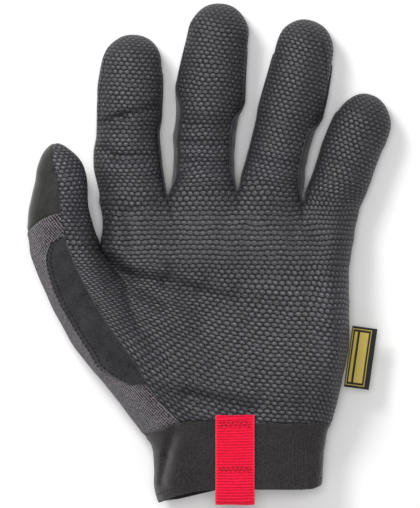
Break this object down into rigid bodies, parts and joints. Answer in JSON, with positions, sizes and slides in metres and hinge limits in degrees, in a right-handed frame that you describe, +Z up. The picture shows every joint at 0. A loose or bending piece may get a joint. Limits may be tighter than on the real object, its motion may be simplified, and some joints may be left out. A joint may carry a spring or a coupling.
{
  "type": "mechanic glove",
  "caption": "Left-hand mechanic glove, lying palm up and filled as if worn, with a textured palm, knit thumb back, stretch cuff, pull tab and side label.",
  "frame": {"origin": "the middle of the glove's footprint, on the surface that it lies on", "axes": "+Z up out of the palm, +Y from the cuff towards the fingertips, -X towards the thumb"},
  "size_m": [0.176, 0.2428, 0.0374],
  "materials": {
    "textured_leather": "embossed synthetic leather with small raised ovals, half matt",
    "back_cloth": "matt stretch cloth",
    "rib_knit": "fine diagonal rib knit",
    "tip_suede": "smooth suede-like cap",
    "patch_suede": "suede-like patch with double stitching",
    "stretch_strip": "smooth stretch cloth",
    "cuff_knit": "matt stretch knit",
    "webbing": "ribbed woven webbing",
    "woven_label": "folded woven tab with a plain yellow frame"
  },
  "bodies": {
    "root": {"palm_panel": "textured_leather", "back_panel": "back_cloth", "thumb_back": "rib_knit", "thumb_tip_cap": "tip_suede", "thumb_patch": "patch_suede", "index_middle_fourchette": "stretch_strip", "middle_ring_fourchette": "stretch_strip", "ring_little_fourchette": "stretch_strip", "cuff": "cuff_knit", "pull_tab": "webbing", "side_label": "woven_label"}
  },
  "joints": []
}
